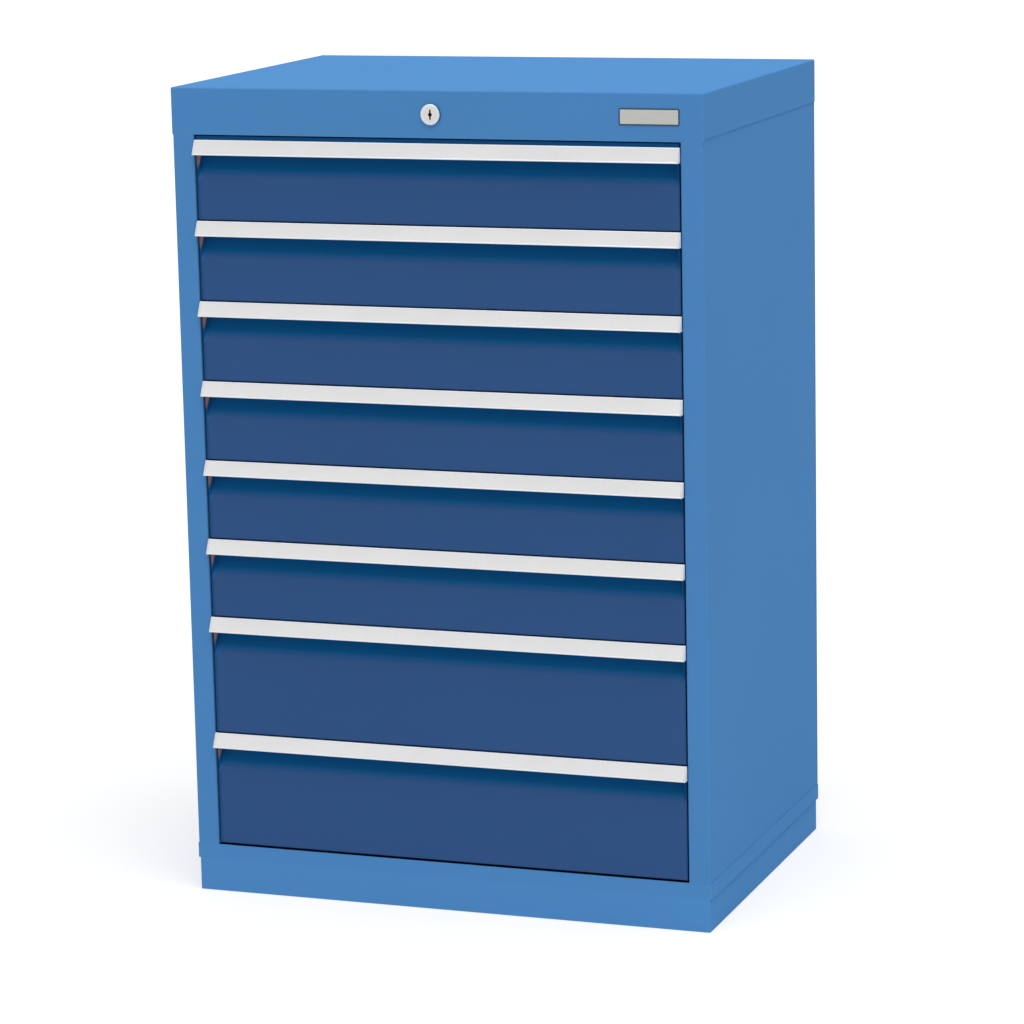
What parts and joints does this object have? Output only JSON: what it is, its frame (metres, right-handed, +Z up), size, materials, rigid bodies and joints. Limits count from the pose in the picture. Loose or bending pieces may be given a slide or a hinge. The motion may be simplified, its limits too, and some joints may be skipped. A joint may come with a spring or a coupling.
{
  "type": "drawer cabinet",
  "caption": "Free-standing steel drawer cabinet with low and high drawers on telescopic runners, slanted full-width grip strips and a central lock.",
  "frame": {"origin": "on the floor, in the middle of the overall width and depth, the grip strips included", "axes": "+Z up, -Y towards the front where the drawers open, +X to the right seen from the front"},
  "size_m": [0.705, 0.509, 1.053],
  "materials": {
    "carcass_blue": "light blue powder coat, fine texture, semi-matt",
    "drawer_blue": "dark blue powder coat, fine texture, semi-matt",
    "grip_aluminium": "pale anodised extrusion, satin",
    "grip_cap": "pale grey moulded plastic",
    "runner_steel": "zinc-plated rolled steel",
    "lock_chrome": "satin chrome"
  },
  "bodies": {
    "cabinet": {"side_panel_left": "carcass_blue", "side_panel_right": "carcass_blue", "back_panel": "carcass_blue", "base_tray": "carcass_blue", "plinth": "carcass_blue", "top_cover": "carcass_blue", "cabinet_rails": "runner_steel", "lock_housing": "lock_chrome"},
    "lock": {"lock_cylinder": "lock_chrome", "lock_cam": "runner_steel"},
    "transfer": {"transfer_bar": "runner_steel"},
    "locking": {"locking_bar": "runner_steel"},
    "drawer_1": {"drawer_1_tray": "drawer_blue", "drawer_1_front": "drawer_blue", "drawer_1_grip": "grip_aluminium", "drawer_1_grip_ends": "grip_cap", "drawer_1_rails": "runner_steel"},
    "slides_1": {"drawer_1_slides": "runner_steel"},
    "drawer_2": {"drawer_2_tray": "drawer_blue", "drawer_2_front": "drawer_blue", "drawer_2_grip": "grip_aluminium", "drawer_2_grip_ends": "grip_cap", "drawer_2_rails": "runner_steel"},
    "slides_2": {"drawer_2_slides": "runner_steel"},
    "drawer_3": {"drawer_3_tray": "drawer_blue", "drawer_3_front": "drawer_blue", "drawer_3_grip": "grip_aluminium", "drawer_3_grip_ends": "grip_cap", "drawer_3_rails": "runner_steel"},
    "slides_3": {"drawer_3_slides": "runner_steel"},
    "drawer_4": {"drawer_4_tray": "drawer_blue", "drawer_4_front": "drawer_blue", "drawer_4_grip": "grip_aluminium", "drawer_4_grip_ends": "grip_cap", "drawer_4_rails": "runner_steel"},
    "slides_4": {"drawer_4_slides": "runner_steel"},
    "drawer_5": {"drawer_5_tray": "drawer_blue", "drawer_5_front": "drawer_blue", "drawer_5_grip": "grip_aluminium", "drawer_5_grip_ends": "grip_cap", "drawer_5_rails": "runner_steel"},
    "slides_5": {"drawer_5_slides": "runner_steel"},
    "drawer_6": {"drawer_6_tray": "drawer_blue", "drawer_6_front": "drawer_blue", "drawer_6_grip": "grip_aluminium", "drawer_6_grip_ends": "grip_cap", "drawer_6_rails": "runner_steel"},
    "slides_6": {"drawer_6_slides": "runner_steel"},
    "drawer_7": {"drawer_7_tray": "drawer_blue", "drawer_7_front": "drawer_blue", "drawer_7_grip": "grip_aluminium", "drawer_7_grip_ends": "grip_cap", "drawer_7_rails": "runner_steel"},
    "slides_7": {"drawer_7_slides": "runner_steel"},
    "drawer_8": {"drawer_8_tray": "drawer_blue", "drawer_8_front": "drawer_blue", "drawer_8_grip": "grip_aluminium", "drawer_8_grip_ends": "grip_cap", "drawer_8_rails": "runner_steel"},
    "slides_8": {"drawer_8_slides": "runner_steel"}
  },
  "joints": [
    {"name": "drawer_1_slide", "type": "slide", "parent": "cabinet", "child": "drawer_1", "axis": [0, -1, 0], "range_m": [0, 0.4]},
    {"name": "slides_1_slide", "type": "slide", "parent": "cabinet", "child": "slides_1", "axis": [0, -1, 0], "range_m": [0, 0.2]},
    {"name": "drawer_2_slide", "type": "slide", "parent": "cabinet", "child": "drawer_2", "axis": [0, -1, 0], "range_m": [0, 0.4]},
    {"name": "slides_2_slide", "type": "slide", "parent": "cabinet", "child": "slides_2", "axis": [0, -1, 0], "range_m": [0, 0.2]},
    {"name": "drawer_3_slide", "type": "slide", "parent": "cabinet", "child": "drawer_3", "axis": [0, -1, 0], "range_m": [0, 0.4]},
    {"name": "slides_3_slide", "type": "slide", "parent": "cabinet", "child": "slides_3", "axis": [0, -1, 0], "range_m": [0, 0.2]},
    {"name": "drawer_4_slide", "type": "slide", "parent": "cabinet", "child": "drawer_4", "axis": [0, -1, 0], "range_m": [0, 0.4]},
    {"name": "slides_4_slide", "type": "slide", "parent": "cabinet", "child": "slides_4", "axis": [0, -1, 0], "range_m": [0, 0.2]},
    {"name": "drawer_5_slide", "type": "slide", "parent": "cabinet", "child": "drawer_5", "axis": [0, -1, 0], "range_m": [0, 0.4]},
    {"name": "slides_5_slide", "type": "slide", "parent": "cabinet", "child": "slides_5", "axis": [0, -1, 0], "range_m": [0, 0.2]},
    {"name": "drawer_6_slide", "type": "slide", "parent": "cabinet", "child": "drawer_6", "axis": [0, -1, 0], "range_m": [0, 0.4]},
    {"name": "slides_6_slide", "type": "slide", "parent": "cabinet", "child": "slides_6", "axis": [0, -1, 0], "range_m": [0, 0.2]},
    {"name": "drawer_7_slide", "type": "slide", "parent": "cabinet", "child": "drawer_7", "axis": [0, -1, 0], "range_m": [0, 0.4]},
    {"name": "slides_7_slide", "type": "slide", "parent": "cabinet", "child": "slides_7", "axis": [0, -1, 0], "range_m": [0, 0.2]},
    {"name": "drawer_8_slide", "type": "slide", "parent": "cabinet", "child": "drawer_8", "axis": [0, -1, 0], "range_m": [0, 0.4]},
    {"name": "slides_8_slide", "type": "slide", "parent": "cabinet", "child": "slides_8", "axis": [0, -1, 0], "range_m": [0, 0.2]},
    {"name": "lock_turn", "type": "hinge", "parent": "cabinet", "child": "lock", "pos_m": [0, -0.2455, 1.023], "axis": [0, 1, 0], "range_deg": [0, 90]},
    {"name": "transfer_slide", "type": "slide", "parent": "cabinet", "child": "transfer", "axis": [1, 0, 0], "range_m": [0, 0.0114]},
    {"name": "locking_lift", "type": "slide", "parent": "cabinet", "child": "locking", "axis": [0, 0, 1], "range_m": [0, 0.009]}
  ],
  "couplings": [
    {"joint": "slides_1_slide", "follows": "drawer_1_slide", "ratio": 0.5},
    {"joint": "slides_2_slide", "follows": "drawer_2_slide", "ratio": 0.5},
    {"joint": "slides_3_slide", "follows": "drawer_3_slide", "ratio": 0.5},
    {"joint": "slides_4_slide", "follows": "drawer_4_slide", "ratio": 0.5},
    {"joint": "slides_5_slide", "follows": "drawer_5_slide", "ratio": 0.5},
    {"joint": "slides_6_slide", "follows": "drawer_6_slide", "ratio": 0.5},
    {"joint": "slides_7_slide", "follows": "drawer_7_slide", "ratio": 0.5},
    {"joint": "slides_8_slide", "follows": "drawer_8_slide", "ratio": 0.5},
    {"joint": "lock_turn", "follows": "locking_lift", "rad_per_m": 174.53},
    {"joint": "transfer_slide", "follows": "locking_lift", "ratio": 1.2571}
  ]
}
